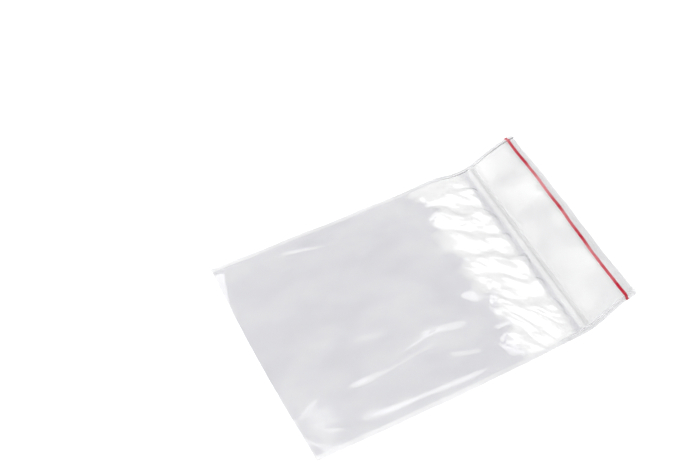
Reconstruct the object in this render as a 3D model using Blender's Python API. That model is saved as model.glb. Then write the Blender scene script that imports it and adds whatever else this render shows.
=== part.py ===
"""A clear polythene zip bag, 60 x 80 mm, lying closed and empty, with a red line along its mouth.

The pouch is one blown and folded film: its section is drawn once from the back lip, round the fold to
the front lip, with the press-to-close profile on both walls, and swept across the width. The two side
seals close the section. One set of height functions then lays it down: a little air between the walls,
gathers that shorten it under the zip, a fold that springs open at its left end, and lips that part a
little. Sizes are in millimetres and become metres last.
"""

import math

import bmesh
import bpy
from mathutils import Vector
from mathutils.geometry import tessellate_polygon

MM = 0.001

# The bag pulled flat.
WIDTH = 60.0  # over the side seals
INSIDE_LENGTH = 80.0  # from the fold to the zip
LIP_LENGTH = 15.0  # from the zip to the mouth
FILM = 0.05  # one wall
FOLD_ROOM = 0.16  # between the walls at the bottom fold
SEAL = 1.2  # each side seal
SEAL_BEAD = 0.22  # height of the hot-cut edge
BEAD_RUN = 0.35  # width of that edge

# The zip. Its rib hangs from the front wall, and its hooked groove stands on the back wall.
ZIP_BAND = 3.8  # the strip that carries the profile
ZIP_WALL = 0.10  # film of that strip
ZIP_SLOPE = 0.6  # run from the film to the strip's full height
ZIP_CLEAR = 0.08  # all round the rib
RIB_STEM = 0.14  # half width
RIB_HEAD = 0.38  # half width, at the barbs
RIB_BARB = 0.06  # upright side of the barbs
HEAD_LENGTH = 0.25  # from the barbs to the blunt tip
HOOK_LEG = 0.22
HOOK_ROOF = 0.17
HOOK_ROUND = 0.07
GRIP_RIBS = 2  # low ribs on the outside, for the fingers
GRIP_WIDTH = 0.5
GRIP_RISE = 0.12

# The red line.
LINE_WIDTH = 0.9
LINE_INSET = 2.6  # from the mouth to its middle
LINE_SKEW = 0.6  # how much nearer to the mouth it is at the left end
LINE_THICK = 0.05
LINE_GAP = 0.05  # over the lip

# Air between the walls, and how far in from each edge it takes to reach its full height.
PUFF = 0.4
PUFF_SIDE = 13.0
PUFF_FOLD = 12.0
PUFF_ZIP = 20.0
PUFF_SHARE = 0.5  # what is left of it beside the zip
SEAL_CALM = 3.0  # the air dies out over this run at the side seals
ZIP_CALM = 2.5  # and over this one at the zip
LEAST_GAP = 0.06  # between the walls where they lie on each other
EDGE_GAP = 0.6  # between the walls beside the zip
EDGE_RUN = 14.0
FOLD_RUN = 3.0  # from the fold to where the walls lie on each other

# Gathers under the zip. Each is a sloping crest line with a steep flank above it and a gentle one below.
GATHER_ZONE = 21.0
TAKE_UP = 4.0  # length that they take
GATHER_REACH = 22.4  # from the foot of a crest line to the zip
GATHER_RISE = 2.0
GATHER_STEEP = 2.6  # width of the steep flank
GATHER_GENTLE = 6.5
GATHER_BEAT_SHARE = 0.2  # how much smaller every second one is
GATHER_TAPER_SHARE = 0.25  # share of its length over which a crest rises
GATHER_FADE = 6.0  # run over which they die out at the side seals
GATHER_DROP = 3.2  # and at the zip
BACK_SHARE = 0.3  # how much of them the back wall follows
GATHER_COUNT = 7  # those that run to the zip
GATHER_FIRST_SHARE = -0.6  # where the first one starts, in widths from the middle
GATHER_PITCH_SHARE = 0.135  # in widths
GATHER_LEAN_RATIO = 0.42  # sideways run for each length
CORNER_COUNT = 3  # those that slant to the right-hand seal
CORNER_FIRST_SHARE = 0.095
CORNER_PITCH_SHARE = 0.12
CORNER_LEAN_RATIO = 1.25
CREST_BEYOND = 3.0  # how far a crest line runs on over the seal or the zip

# The fold springs open at its left end.
CURL_RISE = 1.0
CURL_REACH = 18.0
CURL_START = 0.4  # from the fold to the crest where it begins
CURL_SHIFT = 3.0  # what the crest moves away from the fold towards the left end
CURL_GENTLE = 8.0  # run from the crest down to the body

# How the edges and lips lie.
LEAN = 2.7  # sideways shift of the zip against the fold
SEAM_LIFT = 0.45  # pucker of the side seams
SEAM_WAVE = 21.0
SEAM_REACH = 9.0  # how far the pucker goes in
SEAM_PHASE_LEFT = 2.6
SEAM_PHASE_RIGHT = 0.9
LIP_LIFT = 0.8
LIP_WAVE = 47.0
LIP_PHASE = 0.8
LIP_EVEN_SHARE = 0.6  # share of the lift that doesn't wave
LIP_PART = 0.6  # gap between the lips at the mouth
LIP_PART_RUN = 12.0

# The grid.
STATIONS = 17  # from the middle to a seal
SEAM_BIAS = 0.38  # how much closer together they are at the seals
BODY_STEP = 3.6
GATHER_STEP = 1.05
LIP_STEP = 3.0
FOLD_STEPS = 4

HALF = WIDTH / 2
OPEN_HALF = HALF - SEAL
GATHER_START = INSIDE_LENGTH - GATHER_ZONE
ZIP_START = INSIDE_LENGTH
ZIP_END = ZIP_START + ZIP_BAND
ZIP_MIDDLE = (ZIP_START + ZIP_END) / 2
LENGTH = ZIP_END + LIP_LENGTH
GRIP_FLAT_SHARE = 0.25  # half of a grip rib's flat top, in its widths
HOOK_ROOM = RIB_HEAD + ZIP_CLEAR
HOOK_TIP = RIB_STEM + ZIP_CLEAR
HOOK_UNDER = HEAD_LENGTH + 2 * ZIP_CLEAR  # underside of the roof, over the back strip
HOOK_RISE = HOOK_UNDER + HOOK_ROOF
ZIP_INSIDE = HOOK_RISE + ZIP_CLEAR
ZIP_HEIGHT = ZIP_INSIDE + 2 * ZIP_WALL
WALLS = 2 * FILM
BACK, FRONT = -1.0, 1.0
OUTER, INNER = False, True


def ease(x):
    """0 below 0, 1 above 1, and smooth between."""
    x = min(max(x, 0.0), 1.0)
    return x * x * (3 - 2 * x)


def swell(x):
    """A quarter wave: it rises at once and flattens out at 1."""
    return math.sin(math.pi / 2 * min(max(x, 0.0), 1.0))


def spread(start, end, step):
    """Places from start to end, both included, about step apart."""
    count = max(1, round((end - start) / step))
    return [start + (end - start) * i / count for i in range(count + 1)]


def crest_lines(first, count, pitch, lean):
    """A row of gathers as foot, head, rise and the widths of both flanks. Every second one is smaller."""
    lines = []
    for i in range(count):
        size = 1 - GATHER_BEAT_SHARE * (i % 2)
        foot = Vector((WIDTH * (first + pitch * i), ZIP_START - GATHER_REACH))
        length = min(GATHER_REACH, (HALF - foot.x) / lean) + CREST_BEYOND / (1 + lean)
        head = foot + length * Vector((lean, 1.0))
        lines.append((foot, head, GATHER_RISE * size, GATHER_STEEP * size, GATHER_GENTLE * size))
    return lines


CRESTS = crest_lines(GATHER_FIRST_SHARE, GATHER_COUNT, GATHER_PITCH_SHARE, GATHER_LEAN_RATIO)
CRESTS += crest_lines(CORNER_FIRST_SHARE, CORNER_COUNT, CORNER_PITCH_SHARE, CORNER_LEAN_RATIO)


def crest_height(s, t, crest):
    """A tent over its crest line, which rises from nothing at the foot."""
    foot, head, rise, steep, gentle = crest
    along = (head - foot).normalized()
    run = (Vector((s, t)) - foot).dot(along) / (head - foot).length
    off = (s - foot.x) * along.y - (t - foot.y) * along.x
    flank = 1 - abs(off) / (gentle if off > 0 else steep)
    if run <= 0 or run >= 1 or flank <= 0:
        return 0.0
    return rise * flank * ease(run / GATHER_TAPER_SHARE)


def gathers(s, t):
    """The highest crest at a place wins, which makes facets."""
    if t <= ZIP_START - GATHER_REACH - GATHER_GENTLE or t >= ZIP_START:
        return 0.0
    highest = max(crest_height(s, t, crest) for crest in CRESTS)
    return highest * ease((OPEN_HALF - abs(s)) / GATHER_FADE) * ease((ZIP_START - t) / GATHER_DROP)


def pillow(s, t):
    side = ease((OPEN_HALF - abs(s)) / PUFF_SIDE)
    beside_zip = PUFF_SHARE + (1 - PUFF_SHARE) * ease((ZIP_START - t) / PUFF_ZIP)
    return PUFF * side * ease(t / PUFF_FOLD) * beside_zip


def fold_curl(s, t):
    left = max(0.0, 1 - (s + HALF) / CURL_REACH)
    crest = CURL_START + CURL_SHIFT * left
    rising = ease(t / crest)
    falling = ease(1 - (t - crest) / CURL_GENTLE)
    return CURL_RISE * left * min(rising, falling)


def seam_pucker(s, t):
    reach = ease((abs(s) - HALF + SEAM_REACH) / SEAM_REACH)
    ends = ease(t / SEAM_REACH) * ease((ZIP_START - t) / SEAM_REACH)
    phase = SEAM_PHASE_RIGHT if s > 0 else SEAM_PHASE_LEFT
    return SEAM_LIFT * reach * ends * (0.5 - 0.5 * math.cos(2 * math.pi * t / SEAM_WAVE + phase))


def lip_curl(s, t):
    wave = LIP_EVEN_SHARE + (1 - LIP_EVEN_SHARE) * math.cos(2 * math.pi * s / LIP_WAVE + LIP_PHASE)
    return LIP_LIFT * wave * ease((t - ZIP_END) / LIP_LENGTH)


def back_height(s, t):
    """Underside of the back wall over the table. The middle of it lies flat."""
    return seam_pucker(s, t) + BACK_SHARE * gathers(s, t) + lip_curl(s, t)


def thickness(s, t):
    """Height of the front wall's outside over the back wall's, between the side seals."""
    inwards = OPEN_HALF - abs(s)
    if t < ZIP_START:
        fold = FOLD_ROOM * (1 - ease(t / FOLD_RUN))
        zip_edge = EDGE_GAP * ease(1 - (ZIP_START - t) / EDGE_RUN)
        air = max(LEAST_GAP, fold, zip_edge)
        calm = swell(inwards / SEAL_CALM) * ease((ZIP_START - t) / ZIP_CALM)
        return WALLS + air + calm * (pillow(s, t) + fold_curl(s, t)) + (1 - BACK_SHARE) * gathers(s, t)
    if t <= ZIP_END:
        inside_strip = min(t - ZIP_START, ZIP_END - t) / ZIP_SLOPE
        return WALLS + EDGE_GAP + (ZIP_HEIGHT - WALLS - EDGE_GAP) * ease(inside_strip)
    parted = ease((t - ZIP_END) / LIP_LENGTH) * swell(inwards / LIP_PART_RUN)
    return WALLS + EDGE_GAP + (LIP_PART - EDGE_GAP) * parted


def heights(s, t):
    """Middle height between the walls and half their distance. The side seals press the walls together."""
    to_edge = HALF - abs(s)
    pressed = ease((to_edge - BEAD_RUN) / (SEAL - BEAD_RUN))
    nearest = math.copysign(min(abs(s), OPEN_HALF), s)
    bead = (SEAL_BEAD - WALLS) * (1 - ease(to_edge / BEAD_RUN))
    full = WALLS + (thickness(nearest, t) - WALLS) * pressed + bead
    return back_height(s, t) + full / 2, full / 2


def lay(s, t):
    """Where a place of the flat bag lies on the table."""
    y = t - TAKE_UP * ease((t - GATHER_START) / GATHER_ZONE)
    if t <= ZIP_START:
        share = math.sin(math.pi / 2 * y / (ZIP_START - TAKE_UP))
    else:
        share = 1 - ease((t - ZIP_START) / (LENGTH - ZIP_START))
    return s + LEAN * share, y


def film_at(t):
    return ZIP_WALL if ZIP_START + ZIP_SLOPE <= t <= ZIP_END - ZIP_SLOPE else FILM


def place(s, point):
    """A point of the section is (t, face, side, rise): its place up the bag, its face and its wall."""
    t, face, side, rise = point
    middle, half = heights(s, t)
    x, y = lay(s, t)
    reach = half - (film_at(t) if face == INNER else 0.0)
    return Vector((x, y, middle + side * reach + rise))


def fold_points(radius, face):
    """The bottom fold as a half circle, from the back wall to the front wall."""
    points = []
    for i in range(1, FOLD_STEPS):
        angle = math.pi * i / FOLD_STEPS
        t = FOLD_ROOM / 2 + FILM - radius * math.sin(angle)
        points.append((t, face, -math.cos(angle), 0.0))
    return points


def flat_points(places, face, side):
    return [(t, face, side, 0.0) for t in places]


def both_halves(half):
    """The mirror image of half a profile, and then the half itself on the lip's side of the zip."""
    mirrored = [(-t, rise) for t, rise in reversed(half)]
    return [(ZIP_MIDDLE + t, rise) for t, rise in mirrored + half]


def groove_points():
    """Two hooked legs on the back strip, in order from the body to the lip."""
    outer = HOOK_ROOM + HOOK_LEG
    half = [(HOOK_ROOM, 0.0), (HOOK_ROOM, HOOK_UNDER), (HOOK_TIP, HOOK_UNDER)]
    half += [(HOOK_TIP, HOOK_RISE - HOOK_ROUND), (HOOK_TIP + HOOK_ROUND, HOOK_RISE)]
    half += [(outer - HOOK_ROUND, HOOK_RISE), (outer, HOOK_RISE - HOOK_ROUND), (outer, 0.0)]
    return [(t, INNER, BACK, rise) for t, rise in both_halves(half)]


def rib_points():
    """The arrow-headed rib under the front strip, in order from the body to the lip."""
    tip = ZIP_CLEAR - ZIP_INSIDE
    barbs = tip + HEAD_LENGTH
    half = [(RIB_STEM, tip), (RIB_HEAD, barbs - RIB_BARB), (RIB_HEAD, barbs)]
    half += [(RIB_STEM, barbs), (RIB_STEM, 0.0)]
    return [(t, INNER, FRONT, rise) for t, rise in both_halves(half)]


def grip_points():
    """The outside of the front strip, from the body to the lip, with its low ribs."""
    edges = (ZIP_SLOPE / 2, ZIP_SLOPE)
    points = flat_points([ZIP_START + edge for edge in edges], OUTER, FRONT)
    pitch = (ZIP_BAND - 2 * ZIP_SLOPE) / GRIP_RIBS
    for i in range(GRIP_RIBS):
        middle = ZIP_START + ZIP_SLOPE + pitch * (i + 0.5)
        flat = GRIP_FLAT_SHARE
        for step, rise in ((-0.5, 0.0), (-flat, GRIP_RISE), (flat, GRIP_RISE), (0.5, 0.0)):
            points.append((middle + step * GRIP_WIDTH, OUTER, FRONT, rise))
    return points + flat_points([ZIP_END - edge for edge in reversed(edges)], OUTER, FRONT)


def section():
    """The outside and the inside of the film, each from the back lip round the fold to the front lip.

    Both walls have points at the cuts, which run from the fold to the mouth.
    """
    body = spread(FOLD_ROOM / 2 + FILM, GATHER_START, BODY_STEP)
    body += spread(GATHER_START, ZIP_START, GATHER_STEP)[1:]
    lip = spread(ZIP_END, LENGTH, LIP_STEP)
    rise = [ZIP_START + ZIP_SLOPE / 2, ZIP_START + ZIP_SLOPE]
    fall = [ZIP_END - ZIP_SLOPE, ZIP_END - ZIP_SLOPE / 2]

    outside = flat_points(reversed(body + lip), OUTER, BACK)
    outside += fold_points(FOLD_ROOM / 2 + FILM, OUTER)
    outside += flat_points(body, OUTER, FRONT) + grip_points() + flat_points(lip, OUTER, FRONT)

    back = flat_points(body + rise, INNER, BACK) + groove_points() + flat_points(fall + lip, INNER, BACK)
    front = flat_points(body + rise, INNER, FRONT) + rib_points() + flat_points(fall + lip, INNER, FRONT)
    inside = list(reversed(back)) + fold_points(FOLD_ROOM / 2, INNER) + front
    return outside, inside, body + lip


def width_stations():
    """Places across the open width, closer together towards the seals."""
    places = []
    for i in range(-STATIONS, STATIONS + 1):
        x = i / STATIONS
        places.append(OPEN_HALF * ((1 - SEAM_BIAS) * x + SEAM_BIAS * math.copysign(swell(abs(x)), x)))
    return places


class Surface:
    """Points and triangles that become one object."""

    def __init__(self):
        self.points = []
        self.faces = []

    def row(self, s, outline):
        first = len(self.points)
        self.points += [place(s, point) for point in outline]
        return list(range(first, len(self.points)))

    def band(self, left, right, outline):
        """Triangles between two rows. The diagonal follows t, so that both faces of a wall bend alike."""
        for i in range(len(outline)):
            j = (i + 1) % len(outline)
            a, b, c, d = left[i], left[j], right[j], right[i]
            if outline[i][0] <= outline[j][0]:
                self.faces += [(a, c, b), (a, d, c)]
            else:
                self.faces += [(a, d, b), (b, d, c)]

    def fill(self, row, outline, s, cuts):
        """Closes a section in short cells between the cuts, because the bag's side bends along its length.

        Each cell is drawn flat, and stretched upwards so that thin gaps stay open.
        """
        stretch = WIDTH
        bounds = [min(point[0] for point in outline)] + cuts
        for low, high in zip(bounds, bounds[1:]):
            cell = [i for i, point in enumerate(outline) if low <= point[0] <= high]
            drawn = []
            for i in cell:
                height = place(s, outline[i]).z - back_height(s, outline[i][0])
                drawn.append(Vector((outline[i][0], stretch * height, 0.0)))
            self.faces += [[row[cell[k]] for k in triangle] for triangle in tessellate_polygon([drawn])]

    def make_object(self, name, material):
        data = bpy.data.meshes.new(name)
        data.from_pydata([point * MM for point in self.points], [], self.faces)
        data.materials.append(material)
        shape = bmesh.new()
        shape.from_mesh(data)
        bmesh.ops.recalc_face_normals(shape, faces=shape.faces)
        shape.to_mesh(data)
        shape.free()
        made = bpy.data.objects.new(name, data)
        bpy.context.scene.collection.objects.link(made)


def pouch_surface():
    outside, inside, cuts = section()
    whole = outside + list(reversed(inside))
    outline = outside + [inside[-1], inside[0]]
    slit = slice(len(outside), len(whole))
    surface = Surface()
    places = width_stations()
    rows = [surface.row(s, whole) for s in places]
    for left, right in zip(rows, rows[1:]):
        surface.band(left, right, whole)
    for side in (-1, 1):
        # At the seal the slit between the walls ends, and the outline runs on to the cut edge.
        s, row = (places[0], rows[0]) if side < 0 else (places[-1], rows[-1])
        surface.fill(row[slit], whole[slit], s, cuts)
        rim = row[: len(outside)] + [row[len(outside)], row[-1]]
        for edge in (HALF - BEAD_RUN, HALF - BEAD_RUN / 2, HALF):
            outer = surface.row(side * edge, outline)
            left, right = (outer, rim) if side < 0 else (rim, outer)
            surface.band(left, right, outline)
            rim = outer
        surface.fill(rim, outline, side * HALF, cuts)
    return surface


def line_surface():
    """A thin tape that follows the front lip from edge to edge."""
    surface = Surface()
    corners = ((0.5, 0.0), (-0.5, 0.0), (-0.5, LINE_THICK), (0.5, LINE_THICK))
    edges = [HALF - BEAD_RUN, HALF]
    stations = [-s for s in reversed(edges)] + width_stations() + edges
    rows = []
    for s in stations:
        middle = LENGTH - LINE_INSET + LINE_SKEW * (0.5 - (s + HALF) / WIDTH)
        outline = [(middle + t * LINE_WIDTH, OUTER, FRONT, LINE_GAP + rise) for t, rise in corners]
        rows.append(surface.row(s, outline))
    for left, right in zip(rows, rows[1:]):
        surface.band(left, right, outline)
    for row, s in ((rows[0], stations[0]), (rows[-1], stations[-1])):
        surface.fill(row, outline, s, [LENGTH])
    return surface


def centre(surfaces):
    """Puts the middle of the footprint at the origin and the lowest point at height 0."""
    points = [point for surface in surfaces for point in surface.points]
    low = Vector([min(point[axis] for point in points) for axis in range(3)])
    high = Vector([max(point[axis] for point in points) for axis in range(3)])
    origin = Vector(((low.x + high.x) / 2, (low.y + high.y) / 2, low.z))
    for surface in surfaces:
        surface.points = [point - origin for point in surface.points]


def plastic(name, colour, roughness, clear):
    made = bpy.data.materials.new(name)
    made.use_nodes = True
    shader = made.node_tree.nodes["Principled BSDF"]
    shader.inputs["Base Color"].default_value = (*colour, 1.0)
    shader.inputs["Roughness"].default_value = roughness
    shader.inputs["Metallic"].default_value = 0.0
    shader.inputs["IOR"].default_value = 1.51
    shader.inputs["Transmission Weight"].default_value = clear
    return made


def clear_scene():
    for old in list(bpy.data.objects):
        bpy.data.objects.remove(old, do_unlink=True)


def main():
    clear_scene()
    pouch = pouch_surface()
    line = line_surface()
    centre([pouch, line])
    pouch.make_object("pouch", plastic("clear_film", (0.93, 0.94, 0.96), 0.1, 1.0))
    line.make_object("red_line", plastic("red_line", (0.72, 0.03, 0.05), 0.35, 0.0))


main()
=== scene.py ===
import math
import random

import bmesh
import bpy
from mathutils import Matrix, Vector, noise
from mathutils.geometry import tessellate_polygon


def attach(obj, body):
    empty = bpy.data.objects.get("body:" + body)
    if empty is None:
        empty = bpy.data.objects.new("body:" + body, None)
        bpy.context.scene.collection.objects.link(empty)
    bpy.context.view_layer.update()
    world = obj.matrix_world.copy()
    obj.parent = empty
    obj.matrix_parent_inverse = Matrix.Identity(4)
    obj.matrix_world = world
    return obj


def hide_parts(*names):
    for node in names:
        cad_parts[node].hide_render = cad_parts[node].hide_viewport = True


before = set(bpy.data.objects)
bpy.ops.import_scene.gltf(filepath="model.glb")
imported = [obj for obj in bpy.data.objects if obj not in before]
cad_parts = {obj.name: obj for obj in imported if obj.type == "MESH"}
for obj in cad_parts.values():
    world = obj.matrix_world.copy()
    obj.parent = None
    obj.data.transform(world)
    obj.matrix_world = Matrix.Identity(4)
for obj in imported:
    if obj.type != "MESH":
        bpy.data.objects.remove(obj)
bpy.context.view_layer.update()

print("frame loaded")

mm = 0.001

# The bag pulled flat, in millimetres. t runs from the bottom fold to the mouth, and s across it,
# from the left seal to the right, with 0 in the middle.
bag = {
    "width": 60.0,
    "insideLength": 80.0,  # fold to zip
    "lipLength": 15.0,  # zip to mouth
    "film": 0.05,
    "foldRoom": 0.16,  # between the walls at the fold
    "seal": 1.2,
    "lean": 2.7,  # sideways shift of the zip against the fold
    "takeUp": 4.0,  # length lost in the gathers
}

zipper = {
    "band": 3.8,
    "wall": 0.10,
    "slope": 0.9,  # run in which the walls part at its edges
    "clear": 0.08,  # room round the rib
    "ribStem": 0.14,
    "ribHead": 0.38,
    "ribBarb": 0.06,
    "headLength": 0.25,
    "hookLeg": 0.22,
    "hookRoof": 0.17,
    "hookRound": 0.07,
    "gripRibs": 2,
    "gripWidth": 0.5,
    "gripRise": 0.03,
    "gripSteps": (-0.5, -0.33, -0.15, 0.15, 0.33, 0.5),  # across a grip rib, in its widths
}

half = bag["width"] / 2
openHalf = half - bag["seal"]
zipStart = bag["insideLength"]
zipEnd = zipStart + zipper["band"]
zipMiddle = (zipStart + zipEnd) / 2
mouth = zipEnd + bag["lipLength"]
lyingLength = mouth - bag["takeUp"]
walls = 2 * bag["film"]
hookRoom = zipper["ribHead"] + zipper["clear"]
hookTip = zipper["ribStem"] + zipper["clear"]
hookUnder = zipper["headLength"] + 2 * zipper["clear"]
hookRise = hookUnder + zipper["hookRoof"]
zipRoom = hookRise + zipper["clear"]
zipHeight = zipRoom + 2 * zipper["wall"]
back, front = -1.0, 1.0


def ease(x):
    x = min(max(x, 0.0), 1.0)
    return x * x * (3 - 2 * x)


def swell(x):  # rises at once and flattens out at 1
    return math.sin(math.pi / 2 * min(max(x, 0.0), 1.0))


def bell(x):  # 1 at 0, and 0 beyond 1
    return ease(1 - abs(x))


# The way the film lies: air between the walls, gathers under the zip, creases and waves. In the
# noise calls, the last number only picks another pattern.
air = {
    "puff": 0.40,
    "side": 13.0,  # how far from a seal, the fold and the zip the walls are fully apart
    "fold": 12.0,
    "zip": 20.0,
    "leastGap": 0.06,
    "edgeGap": 0.7,  # between the walls at the edge of the zip
    "edgeRun": 16.0,
    "foldRun": 3.0,
    "sealCalm": 3.0,  # how far from a seal the film is free to crease
    "zipCalm": 2.5,
}

# Gathers: crest lines with a steep flank above and a gentle one below, here more uneven than in
# the solid.
gather = {
    "zone": 21.0,
    "reach": 22.4,  # from the foot of a crest line to the zip
    "rise": 2.1,
    "steep": 3.1,  # widths of the flanks
    "gentle": 6.5,
    "beat": 0.2,  # how much smaller every second one is
    "taper": 0.25,
    "endTaper": 0.02,
    "fade": 6.0,
    "drop": 3.2,  # how soon they go down before the zip
    "bridge": 3.5,  # where a fold runs on to the zip
    "bridgeReach": 3.0,
    "bridgeShare": 0.7,
    "beyond": 3.0,
    "backShare": 0.3,  # of the rise, for the back wall
    "wander": 2.6,  # how much a crest strays from its line
    "wanderSize": 8.0,
    "stagger": 0.2,  # how uneven the feet are
    "staggerScale": 1.7,
    "rows": (  # number, first one's place and pitch in widths, sideways run for each length
        (7, -0.6, 0.135, 0.42),
        (3, 0.095, 0.12, 1.25),
    ),
    "facets": 0.16,  # height of the smaller facets on them
    "facetAcross": 3.4,
    "facetAlong": 7.0,
    "facetSlant": 1.1,
    "facetEdge": 2.2,  # how sharply they meet
}
gatherStart = bag["insideLength"] - gather["zone"]


# The share of a crest's rise at s, t.
def ridge(s, t, line, taper=0.25, endTaper=0.25, strayed=0.0, ahead=0.0):
    s0, t0, s1, t1, rise, above, below = line
    length = math.hypot(s1 - s0, t1 - t0)
    ux, uy = (s1 - s0) / length, (t1 - t0) / length
    run = ((s - s0) * ux + (t - t0) * uy) / length + ahead
    off = (s - s0) * uy - (t - t0) * ux + strayed
    flank = 1 - abs(off) / (below if off > 0 else above)
    if run <= 0 or run >= 1 or flank <= 0:
        return 0.0
    return flank * ease(run / taper) * ease((1 - run) / endTaper)


def crestLines():
    lines = []
    for number, first, pitch, lean in gather["rows"]:
        for i in range(number):
            size = 1 - gather["beat"] * (i % 2)
            foot = (bag["width"] * (first + pitch * i), zipStart - gather["reach"])
            length = min(gather["reach"], (half - foot[0]) / lean) + gather["beyond"] / (1 + lean)
            end = (foot[0] + lean * length, foot[1] + length)
            shape = (gather["rise"] * size, gather["steep"] * size, gather["gentle"] * size)
            lines.append((*foot, *end, *shape))
    return lines


crests = crestLines()


def facet(s, t):  # 0 to 1, in creased cells that slant like the gathers
    slanted = (s - gather["facetSlant"] * t) / gather["facetAcross"]
    cell = noise.noise(Vector((slanted, t / gather["facetAlong"], 12.5)))
    return min(1.0, gather["facetEdge"] * abs(cell))


def gathers(s, t):
    if t <= zipStart - gather["reach"] - gather["gentle"] or t >= zipStart:
        return 0.0
    spot = Vector((s, t, 40.0)) / gather["wanderSize"]
    strayed = gather["wander"] * noise.noise(spot)
    ahead = gather["stagger"] * noise.noise(spot * gather["staggerScale"])
    tapers = (gather["taper"], gather["endTaper"])
    best = max(line[4] * ridge(s, t, line, *tapers, strayed, ahead) for line in crests)
    best *= 1 - gather["facets"] * facet(s, t)
    bridge = bell((s - gather["bridge"]) / gather["bridgeReach"])
    drop = gather["drop"] * (1 - gather["bridgeShare"] * bridge)
    return best * ease((openHalf - abs(s)) / gather["fade"]) * ease((zipStart - t) / drop)


# Smaller folds between the big ones, each a tent from one end to the other.
pleats = {
    "count": 34,
    "rise": 0.42,
    "width": 1.9,
    "steepShare": 0.45,  # of the width, for the flank on the other side
    "length": 12.0,
    "seed": 11,
    "places": (0.12, 0.9),  # in shares of the gathered zone
    "leans": (8, 52),  # degrees
    "lengths": (0.5, 1.2),  # the least and the most, in shares of the values above
    "rises": (0.4, 1.2),
    "widths": (0.6, 1.5),
}


def pleatLines():
    dice = random.Random(pleats["seed"])
    lines = []
    for i in range(pleats["count"]):
        s = -half + bag["width"] * (i + dice.random()) / pleats["count"]
        t = gatherStart + gather["zone"] * dice.uniform(*pleats["places"])
        lean = math.radians(dice.uniform(*pleats["leans"]))
        reach = pleats["length"] * dice.uniform(*pleats["lengths"]) / 2
        rise = pleats["rise"] * dice.uniform(*pleats["rises"])
        width = pleats["width"] * dice.uniform(*pleats["widths"])
        lines.append((s, t, math.sin(lean), math.cos(lean), reach, rise, width))
    return lines


pleatList = pleatLines()


def smallPleats(s, t):
    best = 0.0
    for s0, t0, across, along, reach, rise, width in pleatList:
        ds, dt = s - s0, t - t0
        far = ds * along - dt * across
        steep = pleats["steepShare"] * width
        if far > width or far < -steep:
            continue
        run = (ds * across + dt * along) / reach
        if abs(run) < 1:
            flank = 1 - (far / width if far > 0 else -far / steep)
            best = max(best, rise * flank * bell(run))
    return best


# Long creases in the body: the two ends (across, along), the rise, and the widths of the left and
# right flanks.
creases = (
    (24.9, 12.0, 26.8, 55.0, 0.26, 7.0, 1.1),
    (16.9, 12.0, 10.4, 47.0, 0.40, 3.6, 1.4),
    (17.0, 14.0, 14.0, 46.0, 0.26, 2.2, 1.2),
    (9.4, 36.0, 13.0, 54.0, 0.46, 3.0, 2.6),
    (18.6, 41.0, 21.6, 52.0, 0.26, 3.0, 1.8),
    (14.0, 9.5, 19.4, -1.5, 0.15, 1.7, 1.2),
    (23.6, 5.5, 25.2, 10.0, 0.09, 1.0, 0.9),
    (22.8, -0.5, 27.4, 3.4, 0.10, 1.2, 0.9),
    (-27.0, 16.0, -23.6, 31.0, 0.28, 1.8, 1.2),
    (-19.0, 20.0, -19.5, 33.0, 0.14, 2.2, 1.3),
    (-8.0, 26.0, 1.0, 54.0, 0.26, 5.0, 4.0),
    (-15.0, 4.0, -3.0, 22.0, 0.20, 4.4, 3.6),
    (1.0, 12.0, 6.0, 38.0, 0.22, 5.5, 4.2),
    (-21.0, 36.0, -14.0, 58.0, 0.24, 5.0, 3.8),
    (19.0, 18.0, 20.0, 42.0, 0.12, 4.4, 3.4),
)


def longCreases(s, t):
    return sum(crease[4] * ease(ridge(s, t, crease)) for crease in creases)


# The fold curls up at its left end.
curl = {
    "start": 0.4,
    "reach": 18.0,
    "rise": 1.0,
    "steep": 3.0,
    "gentle": 8.0,
}


def foldCurl(s, t):
    left = max(0.0, 1 - (s + half) / curl["reach"])
    crest = curl["start"] + curl["steep"] * left
    shape = ease(t / crest) if t < crest else ease(1 - (t - crest) / curl["gentle"])
    return curl["rise"] * left * shape


waves = {
    "height": 0.30,
    "across": 11.0,  # size of a wave
    "along": 19.0,
    "fineHeight": 0.05,
    "fineAcross": 3.2,
    "fineAlong": 6.5,
    "sideRun": 9.0,  # how far from the seals and the fold they reach their height
    "foldRun": 10.0,
}


def softWaves(s, t):
    broad = noise.noise(Vector((s / waves["across"], t / waves["along"], 2.3)))
    fine = noise.noise(Vector((s / waves["fineAcross"], t / waves["fineAlong"], 7.1)))
    edge = ease((openHalf - abs(s)) / waves["sideRun"]) * ease(t / waves["foldRun"])
    return edge * (waves["height"] * broad + waves["fineHeight"] * fine)


lips = {
    "lift": 0.8,
    "wave": 47.0,
    "phase": 0.8,
    "evenShare": 0.6,  # of the lift, the same all along
    "part": 0.6,  # between the lips at the mouth
    "partRun": 12.0,
    "ripple": 0.8,
    "rippleAcross": 6.0,
    "rippleAlong": 9.0,
    "rippleRun": 5.0,
}


def lipCurl(s, t):
    swing = math.cos(2 * math.pi * s / lips["wave"] + lips["phase"])
    lift = lips["lift"] * (lips["evenShare"] + (1 - lips["evenShare"]) * swing)
    spot = Vector((s / lips["rippleAcross"], t / lips["rippleAlong"], 4.7))
    ripple = lips["ripple"] * (0.5 + 0.5 * noise.noise(spot))
    beyond = t - zipEnd
    return lift * ease(beyond / bag["lipLength"]) + ripple * ease(beyond / lips["rippleRun"])


seams = {
    "lift": 0.45,
    "wave": 21.0,
    "phases": (2.6, 0.9),  # left and right
    "reach": 9.0,
    "bead": 0.15,  # height of the hot-cut edge
    "beadRun": 0.35,
    "uneven": 0.35,  # share by which the bead varies
    "wobble": 0.12,  # how uneven the cut is
    "wobbleLength": 1.1,
}


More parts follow.
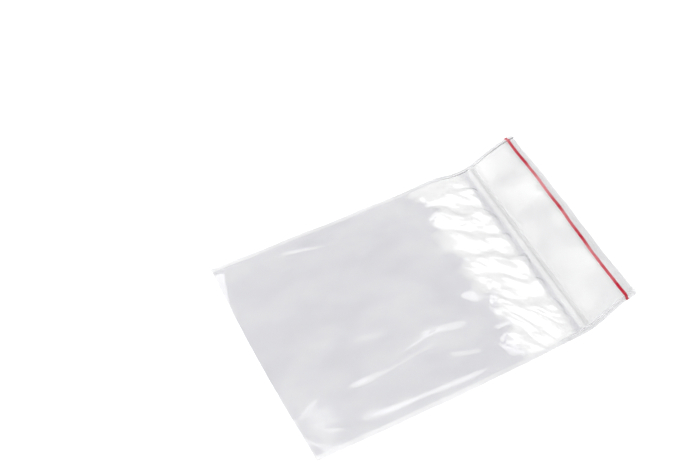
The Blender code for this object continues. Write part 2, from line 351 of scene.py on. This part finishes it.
def seamPucker(s, t):
    reach = ease((abs(s) - half + seams["reach"]) / seams["reach"])
    ends = ease(t / seams["reach"]) * ease((zipStart - t) / seams["reach"])
    phase = seams["phases"][s > 0]
    swing = 0.5 - 0.5 * math.cos(2 * math.pi * t / seams["wave"] + phase)
    return seams["lift"] * reach * ends * swing


def backHeight(s, t):
    return seamPucker(s, t) + gather["backShare"] * gathers(s, t) + lipCurl(s, t)


def pillow(s, t):
    side = ease((openHalf - abs(s)) / air["side"])
    end = 0.5 + 0.5 * ease((zipStart - t) / air["zip"])
    return air["puff"] * side * ease(t / air["fold"]) * end


def thickness(s, t):
    inwards = openHalf - abs(s)
    if t < zipStart:
        fold = bag["foldRoom"] * (1 - ease(t / air["foldRun"]))
        zipEdge = air["edgeGap"] * ease(1 - (zipStart - t) / air["edgeRun"])
        gap = max(air["leastGap"], fold, zipEdge)
        folds = (1 - gather["backShare"]) * gathers(s, t)
        quiet = ease((zipStart - t) / air["zipCalm"]) * swell(inwards / air["sealCalm"])
        extra = quiet * (smallPleats(s, t) + longCreases(s, t) + softWaves(s, t) + foldCurl(s, t))
        return walls + gap + max(0.0, quiet * pillow(s, t) + folds + extra)
    if t <= zipEnd:
        inside = min(t - zipStart, zipEnd - t) / zipper["slope"]
        return walls + air["edgeGap"] + (zipHeight - walls - air["edgeGap"]) * ease(inside)
    parted = ease((t - zipEnd) / bag["lipLength"]) * swell(inwards / lips["partRun"])
    return walls + air["edgeGap"] + (lips["part"] - air["edgeGap"]) * parted


def heights(s, t):  # of the middle between the walls, and half the thickness of the bag
    toEdge = half - abs(s)
    pressed = ease((toEdge - seams["beadRun"]) / (bag["seal"] - seams["beadRun"]))
    nearest = math.copysign(min(abs(s), openHalf), s)
    uneven = 1 + seams["uneven"] * noise.noise(Vector((s, t / seams["wobbleLength"], 1.7)))
    bead = (seams["bead"] * uneven - walls) * (1 - ease(toEdge / seams["beadRun"]))
    full = walls + (thickness(nearest, t) - walls) * pressed + bead
    return backHeight(s, t) + full / 2, full / 2


# How the bag lies on the table: the fold is a little askew and bowed, and the left seam kinks at
# the zip.
pose = {
    "foldSlant": 2.0,
    "foldBow": 0.7,
    "foldReach": 30.0,
    "kink": 0.9,
    "kinkAt": 78.5,
    "kinkLength": 11.0,
    "kinkReach": 15.0,
}


def lay(s, t):
    y = t - bag["takeUp"] * ease((t - gatherStart) / gather["zone"])
    if t <= zipStart:
        share = math.sin(math.pi / 2 * y / (zipStart - bag["takeUp"]))
    else:
        share = 1 - ease((t - zipStart) / (mouth - zipStart))
    left = (half - s) / bag["width"]  # 1 at the left seam
    fade = ease(1 - t / pose["foldReach"])
    y -= fade * (pose["foldSlant"] * left + pose["foldBow"] * math.sin(math.pi * left))
    kink = pose["kink"] * bell((t - pose["kinkAt"]) / pose["kinkLength"])
    kink *= ease(1 - (s + half) / pose["kinkReach"])
    cut = ease(1 - (half - abs(s)) / seams["beadRun"])
    along = Vector((math.copysign(5, s), t / seams["wobbleLength"], 3.1))
    wobble = seams["wobble"] * cut * noise.noise(along)
    return s + bag["lean"] * share + kink + wobble, y


def place(s, point):
    t, inner, side, rise = point
    middle, reach = heights(s, t)
    x, y = lay(s, t)
    if inner:
        thick = zipStart + zipper["slope"] <= t <= zipEnd - zipper["slope"]
        reach -= zipper["wall"] if thick else bag["film"]
    return Vector((x - bag["lean"] / 2, y - lyingLength / 2, middle + side * reach + rise))


# The grid of the film. The back wall takes every second place of the front wall.
grid = {
    "across": 118,
    "crowd": 0.25,  # how much closer the places are near the seals
    "bodyStep": 0.62,
    "gatherStep": 0.36,
    "lipStep": 0.62,
    "foldSteps": 6,
    "sealSteps": 4,
    "beadSteps": 4,
    "drawnHigher": 60.0,  # so that a thin section can be cut into triangles
}

# The film's materials, in the order of its slots.
bodySlot, lipSlot, weldSlot, zipSlot, insideSlot = range(5)


def spread(start, end, step):
    count = 2 * max(1, round((end - start) / step / 2))
    return [start + (end - start) * i / count for i in range(count + 1)]


def flat(places, inner, side):
    return [(t, inner, side, 0.0) for t in places]


def foldPoints(radius, inner):
    points = []
    centre = bag["foldRoom"] / 2 + bag["film"]
    for i in range(1, grid["foldSteps"]):
        angle = math.pi * i / grid["foldSteps"]
        points.append((centre - radius * math.sin(angle), inner, -math.cos(angle), 0.0))
    return points


def bothHalves(profile):
    mirrored = [(-t, rise) for t, rise in reversed(profile)]
    return [(zipMiddle + t, rise) for t, rise in mirrored + profile]


def groovePoints():
    outer = hookRoom + zipper["hookLeg"]
    soft = zipper["hookRound"]
    profile = [(hookRoom, 0.0), (hookRoom, hookUnder), (hookTip, hookUnder)]
    profile += [(hookTip, hookRise - soft), (hookTip + soft, hookRise)]
    profile += [(outer - soft, hookRise), (outer, hookRise - soft), (outer, 0.0)]
    return [(t, True, back, rise) for t, rise in bothHalves(profile)]


def ribPoints():
    tip = zipper["clear"] - zipRoom
    barbs = tip + zipper["headLength"]
    stem, head = zipper["ribStem"], zipper["ribHead"]
    profile = [(stem, tip), (head, barbs - zipper["ribBarb"])]
    profile += [(head, barbs), (stem, barbs), (stem, 0.0)]
    return [(t, True, front, rise) for t, rise in bothHalves(profile)]


def gripPoints():
    edges = (zipper["slope"] / 2, zipper["slope"])
    points = flat([zipStart + edge for edge in edges], False, front)
    pitch = (zipper["band"] - 2 * zipper["slope"]) / zipper["gripRibs"]
    for i in range(zipper["gripRibs"]):
        middle = zipStart + zipper["slope"] + pitch * (i + 0.5)
        for step in zipper["gripSteps"]:
            rise = zipper["gripRise"] * math.sqrt(max(0.0, 1 - (2 * step) ** 2))
            points.append((middle + step * zipper["gripWidth"], False, front, rise))
    return points + flat([zipEnd - edge for edge in reversed(edges)], False, front)


def section():
    body = spread(bag["foldRoom"] / 2 + bag["film"], gatherStart, grid["bodyStep"])
    body += spread(gatherStart, zipStart, grid["gatherStep"])[1:]
    lip = spread(zipEnd, mouth, grid["lipStep"])
    backBody, backLip = body[::2], lip[::2]
    rise = [zipStart + zipper["slope"] / 2, zipStart + zipper["slope"]]
    fall = [zipEnd - zipper["slope"], zipEnd - zipper["slope"] / 2]
    outside = flat(reversed(backBody + backLip), False, back)
    outside += foldPoints(bag["foldRoom"] / 2 + bag["film"], False)
    outside += flat(body, False, front) + gripPoints() + flat(lip, False, front)
    under = flat(backBody + rise, True, back) + groovePoints() + flat(fall + backLip, True, back)
    over = flat(body + rise, True, front) + ribPoints() + flat(fall + lip, True, front)
    inside = list(reversed(under)) + foldPoints(bag["foldRoom"] / 2, True) + over
    return outside, inside, backBody + backLip


class Surface:
    def __init__(self):
        self.points = []
        self.faces = []
        self.slots = []

    def row(self, s, outline):
        first = len(self.points)
        self.points += [place(s, point) for point in outline]
        return list(range(first, len(self.points)))

    def band(self, left, right, outline, slot=None):
        for i in range(len(outline)):
            j = (i + 1) % len(outline)
            a, b, c, d = left[i], left[j], right[j], right[i]
            if outline[i][0] <= outline[j][0]:
                self.faces += [(a, c, b), (a, d, c)]
            else:
                self.faces += [(a, d, b), (b, d, c)]
            self.slots += [slot if slot is not None else slotAt(outline[i], outline[j])] * 2

    def fill(self, row, outline, s, cuts, slot):  # closes a section in cells between the cuts
        edges = [min(point[0] for point in outline)] + cuts
        for low, high in zip(edges, edges[1:]):
            cell = [i for i, point in enumerate(outline) if low <= point[0] <= high]
            drawn = []
            for i in cell:
                height = place(s, outline[i]).z - backHeight(s, outline[i][0])
                drawn.append(Vector((outline[i][0], grid["drawnHigher"] * height, 0.0)))
            found = [[row[cell[k]] for k in triangle] for triangle in tessellate_polygon([drawn])]
            self.faces += found
            self.slots += [slot] * len(found)

    def build(self, name, materials, sharpAngle):
        data = bpy.data.meshes.new(name)
        data.from_pydata([point * mm for point in self.points], [], self.faces)
        for material in materials:
            data.materials.append(material)
        data.polygons.foreach_set("material_index", self.slots)
        shape = bmesh.new()
        shape.from_mesh(data)
        bmesh.ops.recalc_face_normals(shape, faces=shape.faces)
        shape.to_mesh(data)
        shape.free()
        data.shade_smooth()
        data.set_sharp_from_angle(angle=math.radians(sharpAngle))
        made = bpy.data.objects.new(name, data)
        bpy.context.scene.collection.objects.link(made)
        return made


def slotAt(first, second):
    if min(first[0], second[0]) < zipStart:
        return bodySlot
    if max(first[0], second[0]) > zipEnd:
        return lipSlot
    return insideSlot if first[1] and second[1] else zipSlot


def openStations():
    places = []
    for i in range(-grid["across"] // 2, grid["across"] // 2 + 1):
        x = 2 * i / grid["across"]
        crowded = math.copysign(swell(abs(x)), x)
        places.append(openHalf * ((1 - grid["crowd"]) * x + grid["crowd"] * crowded))
    return places


def sealStations():
    edge = half - seams["beadRun"]
    spans = ((openHalf, edge, grid["sealSteps"]), (edge, half, grid["beadSteps"]))
    places = []
    for start, end, steps in spans:
        places += [start + (end - start) * i / steps for i in range(1, steps + 1)]
    return places


def filmSurface():
    outside, inside, cuts = section()
    whole = outside + list(reversed(inside))
    outline = outside + [inside[-1], inside[0]]  # of the weld, where the walls are one
    slit = slice(len(outside), len(whole))  # the hollow, which ends where the weld begins
    surface = Surface()
    places = openStations()
    rows = [surface.row(s, whole) for s in places]
    for left, right in zip(rows, rows[1:]):
        surface.band(left, right, whole)
    for side in (-1, 1):
        s, row = (places[0], rows[0]) if side < 0 else (places[-1], rows[-1])
        surface.fill(row[slit], whole[slit], s, cuts, weldSlot)
        rim = row[: len(outside)] + [row[len(outside)], row[-1]]
        for edge in sealStations():
            outer = surface.row(side * edge, outline)
            left, right = (outer, rim) if side < 0 else (rim, outer)
            surface.band(left, right, outline, weldSlot)
            rim = outer
        surface.fill(rim, outline, side * half, cuts, weldSlot)
    return surface


redStripe = {
    "width": 0.9,
    "inset": 2.75,  # from the mouth
    "skew": 1.1,
    "thick": 0.05,
    "gap": 0.03,  # over the lip
    "ragged": 0.05,
    "raggedLength": 0.7,
    "steps": 150,
    "section": (  # across in widths, up in thicknesses
        (0.5, 0.0),
        (-0.5, 0.0),
        (-0.5, 0.4),
        (-0.3, 1.0),
        (0.3, 1.0),
        (0.5, 0.4),
    ),
}


def stripeSurface():
    surface = Surface()
    rows = []
    for k in range(redStripe["steps"] + 1):
        s = -half + bag["width"] * k / redStripe["steps"]
        middle = mouth - redStripe["inset"] + redStripe["skew"] * (0.5 - k / redStripe["steps"])
        outline = []
        for side, rise in redStripe["section"]:
            spot = Vector((s / redStripe["raggedLength"], math.copysign(9, side), 0.4))
            rough = redStripe["ragged"] * noise.noise(spot)
            t = middle + side * (redStripe["width"] + 2 * rough)
            outline.append((t, False, front, redStripe["gap"] + rise * redStripe["thick"]))
        rows.append(surface.row(s, outline))
    for left, right in zip(rows, rows[1:]):
        surface.band(left, right, outline, 0)
    for row in (rows[0], rows[-1]):
        surface.faces += [(row[0], row[i], row[i + 1]) for i in range(1, len(row) - 1)]
        surface.slots += [0] * (len(row) - 2)
    return surface


# The film's patterns. Each has the stretch, scale and detail of a noise texture, and lengths are
# in metres.
filmPattern = {
    "clouds": ((1.0, 0.6, 1.0), 95.0, 3.0),
    "cloudEdges": (0.4, 0.65),
    "zoneEdge": ((1.0, 0.6, 1.0), 130.0, 3.0),
    "zoneRise": 0.0035,  # how far the zone takes to begin and to end
    "zoneFall": 0.0016,
    "lines": ((1.0, 0.03, 1.0), 1400.0, 2.0),
    "lineHeight": 0.00001,
    "dimples": ((1.0, 0.7, 1.0), 260.0, 2.0),
    "dimpleHeight": 0.0001,
}


# Shader group: cloudy patches, a zone of another tone, and the fine lines that a blown film has
# along its length. On the clear film that zone is a painted sheen over the crumpled band.
def filmGrainAndSheenGroup():
    group = bpy.data.node_groups.new("filmGrainAndSheen", "ShaderNodeTree")
    sockets = (
        ("Colour", "NodeSocketColor", (0.9, 0.9, 0.9, 1)),
        ("Cloud Colour", "NodeSocketColor", (1, 1, 1, 1)),
        ("Cloud Amount", "NodeSocketFloat", 0.5),
        ("Line Depth", "NodeSocketFloat", 0.5),
        ("Dimple Depth", "NodeSocketFloat", 0.5),
        ("Zone Colour", "NodeSocketColor", (1, 1, 1, 1)),
        ("Zone Start", "NodeSocketFloat", 1.0),  # in metres along the bag
        ("Zone End", "NodeSocketFloat", 2.0),
        ("Zone Stray", "NodeSocketFloat", 0.0),  # how uneven its start is
    )
    for name, kind, value in sockets:
        made = group.interface.new_socket(name=name, in_out="INPUT", socket_type=kind)
        made.default_value = value
    group.interface.new_socket(name="Colour", in_out="OUTPUT", socket_type="NodeSocketColor")
    group.interface.new_socket(name="Normal", in_out="OUTPUT", socket_type="NodeSocketVector")
    nodes, links = group.nodes, group.links
    entry, leave = nodes.new("NodeGroupInput"), nodes.new("NodeGroupOutput")
    where = nodes.new("ShaderNodeTexCoord")

    def grain(scale, size, detail):
        mapping = nodes.new("ShaderNodeMapping")
        mapping.inputs["Scale"].default_value = scale
        texture = nodes.new("ShaderNodeTexNoise")
        texture.inputs["Scale"].default_value = size
        texture.inputs["Detail"].default_value = detail
        links.new(where.outputs["Object"], mapping.inputs["Vector"])
        links.new(mapping.outputs["Vector"], texture.inputs["Vector"])
        return texture.outputs["Fac"]

    clouds = nodes.new("ShaderNodeMapRange")
    for socket, edge in zip(("From Min", "From Max"), filmPattern["cloudEdges"]):
        clouds.inputs[socket].default_value = edge
    links.new(grain(*filmPattern["clouds"]), clouds.inputs["Value"])
    share = nodes.new("ShaderNodeMath")
    share.operation = "MULTIPLY"
    links.new(clouds.outputs["Result"], share.inputs[0])
    links.new(entry.outputs["Cloud Amount"], share.inputs[1])
    mix = nodes.new("ShaderNodeMix")
    mix.data_type = "RGBA"
    links.new(share.outputs[0], mix.inputs["Factor"])
    links.new(entry.outputs["Colour"], mix.inputs[6])
    links.new(entry.outputs["Cloud Colour"], mix.inputs[7])

    # The zone of another tone, with an uneven start and a soft end. On the clear film it is a
    # painted
    # sheen: a lighter tint that stands in for the light that the crumpled band's facets mirror.
    # On the lip it makes the film darker along the mouth edge.
    split = nodes.new("ShaderNodeSeparateXYZ")
    links.new(where.outputs["Object"], split.inputs[0])
    strayed = nodes.new("ShaderNodeMath")
    strayed.operation = "MULTIPLY_ADD"
    links.new(grain(*filmPattern["zoneEdge"]), strayed.inputs[0])
    links.new(entry.outputs["Zone Stray"], strayed.inputs[1])
    links.new(split.outputs["Y"], strayed.inputs[2])
    masks = []
    for socket, height, run, ends in (
        ("Zone Start", strayed.outputs[0], filmPattern["zoneRise"], (0.0, 1.0)),
        ("Zone End", split.outputs["Y"], filmPattern["zoneFall"], (1.0, 0.0)),
    ):
        after = nodes.new("ShaderNodeMath")
        links.new(entry.outputs[socket], after.inputs[0])
        after.inputs[1].default_value = run
        edge = nodes.new("ShaderNodeMapRange")
        edge.interpolation_type = "SMOOTHSTEP"
        links.new(height, edge.inputs["Value"])
        links.new(entry.outputs[socket], edge.inputs["From Min"])
        links.new(after.outputs[0], edge.inputs["From Max"])
        edge.inputs["To Min"].default_value, edge.inputs["To Max"].default_value = ends
        masks.append(edge.outputs["Result"])
    zone = nodes.new("ShaderNodeMath")
    zone.operation = "MULTIPLY"
    links.new(masks[0], zone.inputs[0])
    links.new(masks[1], zone.inputs[1])
    toned = nodes.new("ShaderNodeMix")
    toned.data_type = "RGBA"
    links.new(zone.outputs[0], toned.inputs["Factor"])
    links.new(mix.outputs[2], toned.inputs[6])
    links.new(entry.outputs["Zone Colour"], toned.inputs[7])
    links.new(toned.outputs[2], leave.inputs["Colour"])

    normal = None
    for pattern, height, depth in (
        ("lines", "lineHeight", "Line Depth"),
        ("dimples", "dimpleHeight", "Dimple Depth"),
    ):
        bump = nodes.new("ShaderNodeBump")
        bump.inputs["Distance"].default_value = filmPattern[height]
        links.new(grain(*filmPattern[pattern]), bump.inputs["Height"])
        links.new(entry.outputs[depth], bump.inputs["Strength"])
        if normal is not None:
            links.new(normal, bump.inputs["Normal"])
        normal = bump.outputs["Normal"]
    links.new(normal, leave.inputs["Normal"])
    return group


filmGrainAndSheen = filmGrainAndSheenGroup()


def finish(name, constants, grainAndSheenValues):
    made = bpy.data.materials.new(name)
    made.use_nodes = True
    nodes, links = made.node_tree.nodes, made.node_tree.links
    shader = nodes["Principled BSDF"]
    for socket, value in constants.items():
        shader.inputs[socket].default_value = value
    grain = nodes.new("ShaderNodeGroup")
    grain.node_tree = filmGrainAndSheen
    for socket, value in grainAndSheenValues.items():
        grain.inputs[socket].default_value = value
    links.new(grain.outputs["Colour"], shader.inputs["Base Color"])
    links.new(grain.outputs["Normal"], shader.inputs["Normal"])
    return made


# The finishes. The tones are those of film against white, and inside the zip the IOR is low
# because its fine walls would otherwise show as black lines.
clearFilm = finish(
    "clearFilm",
    {"Roughness": 0.1, "IOR": 1.51, "Metallic": 0.0, "Transmission Weight": 1.0},
    {
        "Colour": (0.885, 0.885, 0.9, 1),
        "Cloud Colour": (0.93, 0.93, 0.94, 1),
        "Cloud Amount": 0.6,
        "Line Depth": 0.1,
        "Dimple Depth": 0.25,
        # painted sheen: a lighter tint over the crumpled band, for the light its facets mirror
        "Zone Colour": (0.985, 0.985, 0.985, 1),
        "Zone Start": 0.0215,
        "Zone End": 0.0257,
        "Zone Stray": 0.022,
    },
)
lipFilm = finish(
    "lipFilm",
    {"Roughness": 0.1, "IOR": 1.38, "Metallic": 0.0, "Transmission Weight": 1.0},
    {
        # painted sheen: the lip's tints are lighter than the body's, for the light its curved
        # film mirrors
        "Colour": (0.915, 0.915, 0.92, 1),
        "Cloud Colour": (0.985, 0.985, 0.985, 1),
        "Cloud Amount": 1.0,
        "Line Depth": 0.3,
        "Dimple Depth": 0.3,
        "Zone Colour": (0.86, 0.86, 0.865, 1),
        "Zone Start": 0.0457,
        "Zone Stray": 0.006,
    },
)
weldFilm = finish(
    "weldFilm",
    {"Roughness": 0.14, "IOR": 1.51, "Metallic": 0.0, "Transmission Weight": 1.0},
    {
        "Colour": (0.75, 0.75, 0.76, 1),
        "Cloud Colour": (0.84, 0.84, 0.85, 1),
        "Cloud Amount": 0.8,
        "Line Depth": 0.2,
        "Dimple Depth": 0.8,
    },
)
zipFilm = finish(
    "zipFilm",
    {"Roughness": 0.12, "IOR": 1.35, "Metallic": 0.0, "Transmission Weight": 1.0},
    {
        "Colour": (0.77, 0.77, 0.775, 1),
        "Cloud Colour": (0.82, 0.82, 0.825, 1),
        "Cloud Amount": 0.8,
        "Line Depth": 0.2,
        "Dimple Depth": 0.2,
    },
)
zipInside = finish(
    "zipInside",
    {"Roughness": 0.12, "IOR": 1.01, "Metallic": 0.0, "Transmission Weight": 1.0},
    {
        "Colour": (0.995, 0.995, 0.995, 1),
        "Cloud Colour": (1, 1, 1, 1),
        "Cloud Amount": 0.6,
        "Line Depth": 0.2,
        "Dimple Depth": 0.2,
    },
)
redPlastic = finish(
    "redPlastic",
    {"Roughness": 0.3, "IOR": 1.51, "Metallic": 0.0, "Transmission Weight": 0.0},
    {
        "Colour": (0.68, 0.02, 0.055, 1),
        "Cloud Colour": (0.95, 0.34, 0.37, 1),
        "Cloud Amount": 1.0,
        "Line Depth": 0.3,
        "Dimple Depth": 0.3,
    },
)
print("materials made")

sharpAngle = 50  # degrees
filmFinishes = [clearFilm, lipFilm, weldFilm, zipFilm, zipInside]
film = filmSurface().build("bagFilm", filmFinishes, sharpAngle)
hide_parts("pouch")
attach(film, "root")
print("film:", len(film.data.polygons), "triangles")

stripe = stripeSurface().build("redStripe", [redPlastic], sharpAngle)
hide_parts("red_line")
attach(stripe, "root")
print("stripe:", len(stripe.data.polygons), "triangles")


# The floor glows, less near the bag, so that the camera sees it white and the film over it a
# little darker.
floorValues = {
    "radius": 3.0,
    "sides": 64,
    "below": 0.02,  # in millimetres under the bag
    "roughness": 0.9,
    "colour": (0.8, 0.8, 0.8, 1),
    "nearGlow": 0.785,
    "farGlow": 1.0,
    "nearEnd": 0.15,
    "farStart": 0.5,
}


def seenDirectly(nodes, links, kinds):
    path = nodes.new("ShaderNodeLightPath")
    total = None
    for kind in kinds:
        if total is None:
            total = path.outputs[kind]
            continue
        adder = nodes.new("ShaderNodeMath")
        adder.operation = "MAXIMUM"
        links.new(total, adder.inputs[0])
        links.new(path.outputs[kind], adder.inputs[1])
        total = adder.outputs[0]
    return total


def makeFloor():
    data = bpy.data.meshes.new("floor")
    shape = bmesh.new()
    sides, radius = floorValues["sides"], floorValues["radius"]
    bmesh.ops.create_circle(shape, cap_ends=True, segments=sides, radius=radius)
    shape.to_mesh(data)
    shape.free()
    material = bpy.data.materials.new("floorWhite")
    material.use_nodes = True
    nodes, links = material.node_tree.nodes, material.node_tree.links
    shader = nodes["Principled BSDF"]
    shader.inputs["Base Color"].default_value = floorValues["colour"]
    shader.inputs["Roughness"].default_value = floorValues["roughness"]
    shader.inputs["Specular IOR Level"].default_value = 0.0
    shader.inputs["Emission Color"].default_value = (1, 1, 1, 1)
    where = nodes.new("ShaderNodeTexCoord")
    distance = nodes.new("ShaderNodeVectorMath")
    distance.operation = "LENGTH"
    links.new(where.outputs["Object"], distance.inputs[0])
    ramp = nodes.new("ShaderNodeMapRange")
    ramp.inputs["From Min"].default_value = floorValues["nearEnd"]
    ramp.inputs["From Max"].default_value = floorValues["farStart"]
    ramp.inputs["To Min"].default_value = floorValues["nearGlow"]
    ramp.inputs["To Max"].default_value = floorValues["farGlow"]
    links.new(distance.outputs["Value"], ramp.inputs["Value"])
    glow = nodes.new("ShaderNodeMath")
    glow.operation = "MULTIPLY"
    links.new(ramp.outputs["Result"], glow.inputs[0])
    seen = seenDirectly(nodes, links, ("Is Camera Ray", "Is Glossy Ray", "Is Transmission Ray"))
    links.new(seen, glow.inputs[1])
    links.new(glow.outputs[0], shader.inputs["Emission Strength"])
    data.materials.append(material)
    floor = bpy.data.objects.new("floor", data)
    floor.location.z = -floorValues["below"] * mm
    bpy.context.scene.collection.objects.link(floor)


makeFloor()

# The room: bright near the horizon and dark overhead, with soft patches for the film to mirror.
# The camera sees it white, and so it is through the film, as far up as the backdrop.
sky = {
    "low": 0.42,
    "high": 0.07,
    "lowHeight": 0.1,
    "highHeight": 0.95,
    "patches": 0.16,
    "patchScale": 9.0,
    "patchDetail": 2.0,
    "darkest": 0.42,
    "brightest": 0.66,
    "backdrop": (0.15, 0.40),  # heights where the white backdrop behind the film ends
}


def makeSky():
    world = bpy.data.worlds.new("studio")
    bpy.context.scene.world = world
    world.use_nodes = True
    nodes, links = world.node_tree.nodes, world.node_tree.links
    background = nodes["Background"]
    background.inputs["Color"].default_value = (1, 1, 1, 1)
    where = nodes.new("ShaderNodeTexCoord")
    split = nodes.new("ShaderNodeSeparateXYZ")
    links.new(where.outputs["Generated"], split.inputs[0])
    ramp = nodes.new("ShaderNodeMapRange")
    ramp.inputs["From Min"].default_value = sky["lowHeight"]
    ramp.inputs["From Max"].default_value = sky["highHeight"]
    ramp.inputs["To Min"].default_value = sky["low"]
    ramp.inputs["To Max"].default_value = sky["high"]
    links.new(split.outputs["Z"], ramp.inputs["Value"])
    cloud = nodes.new("ShaderNodeTexNoise")
    cloud.inputs["Scale"].default_value = sky["patchScale"]
    cloud.inputs["Detail"].default_value = sky["patchDetail"]
    links.new(where.outputs["Generated"], cloud.inputs["Vector"])
    patches = nodes.new("ShaderNodeMapRange")
    patches.interpolation_type = "SMOOTHSTEP"
    patches.inputs["From Min"].default_value = sky["darkest"]
    patches.inputs["From Max"].default_value = sky["brightest"]
    patches.inputs["To Max"].default_value = sky["patches"]
    links.new(cloud.outputs["Fac"], patches.inputs["Value"])
    total = nodes.new("ShaderNodeMath")
    links.new(ramp.outputs["Result"], total.inputs[0])
    links.new(patches.outputs["Result"], total.inputs[1])
    backdrop = nodes.new("ShaderNodeMapRange")
    backdrop.interpolation_type = "SMOOTHSTEP"
    lowEnd, highEnd = sky["backdrop"]
    backdrop.inputs["From Min"].default_value = lowEnd
    backdrop.inputs["From Max"].default_value = highEnd
    backdrop.inputs["To Min"].default_value = 1.0
    backdrop.inputs["To Max"].default_value = 0.0
    links.new(split.outputs["Z"], backdrop.inputs["Value"])
    through = nodes.new("ShaderNodeMath")
    through.operation = "MULTIPLY"
    links.new(backdrop.outputs["Result"], through.inputs[0])
    links.new(seenDirectly(nodes, links, ("Is Transmission Ray",)), through.inputs[1])
    white = nodes.new("ShaderNodeMath")
    white.operation = "MAXIMUM"
    links.new(through.outputs[0], white.inputs[0])
    links.new(seenDirectly(nodes, links, ("Is Camera Ray",)), white.inputs[1])
    mix = nodes.new("ShaderNodeMix")
    links.new(white.outputs[0], mix.inputs["Factor"])
    links.new(total.outputs[0], mix.inputs[2])
    mix.inputs[3].default_value = 1.0
    links.new(mix.outputs[0], background.inputs["Strength"])


makeSky()

# Softboxes: where they hang, seen from the middle of the bag, in degrees with the azimuth from
# +X, size and brightness. The first two hang side by side, so that a highlight has a soft edge.
lampDistance = 0.6  # metres
softboxes = {
    "overhead": {"azimuth": -37.7, "elevation": 74.7, "size": (0.62, 0.28), "radiance": 3.0},
    "softer": {"azimuth": -37.7, "elevation": 93.5, "size": (0.62, 0.12), "radiance": 1.7},
    "corner": {"azimuth": 219, "elevation": 40, "size": (0.3, 0.25), "radiance": 3.0},
}


def awayAt(azimuth, elevation):  # in degrees, the azimuth from +X
    turn, rise = math.radians(azimuth), math.radians(elevation)
    flatShare = math.cos(rise)
    return Vector((math.cos(turn) * flatShare, math.sin(turn) * flatShare, math.sin(rise)))


def makeSoftboxes():
    for name, box in softboxes.items():
        lamp = bpy.data.lights.new(name, "AREA")
        lamp.shape = "RECTANGLE"
        lamp.size, lamp.size_y = box["size"]
        lamp.energy = box["radiance"] * math.pi * lamp.size * lamp.size_y
        made = bpy.data.objects.new(name, lamp)
        away = awayAt(box["azimuth"], box["elevation"])
        made.location = away * lampDistance
        made.rotation_euler = away.to_track_quat("Z", "Y").to_euler()
        bpy.context.scene.collection.objects.link(made)


makeSoftboxes()

view = {
    "azimuth": -27.9,
    "elevation": 58.5,
    "distance": 0.2351,  # metres
    "aim": (-0.0239, -0.01074, 0.0),
    "pictureWidth": 700,  # in pixels
    "focal": 848.0,  # in the same pixels
    "sensor": 36.0,
    "clipStart": 0.01,
}


def makeCamera():
    lens = bpy.data.cameras.new("camera")
    lens.sensor_width = view["sensor"]
    lens.lens = view["sensor"] * view["focal"] / view["pictureWidth"]
    lens.clip_start = view["clipStart"]
    made = bpy.data.objects.new("camera", lens)
    away = awayAt(view["azimuth"], view["elevation"])
    made.location = Vector(view["aim"]) + away * view["distance"]
    made.rotation_euler = away.to_track_quat("Z", "Y").to_euler()
    bpy.context.scene.collection.objects.link(made)
    bpy.context.scene.camera = made


makeCamera()
bpy.context.scene.view_settings.view_transform = "Standard"
print("light and camera set")
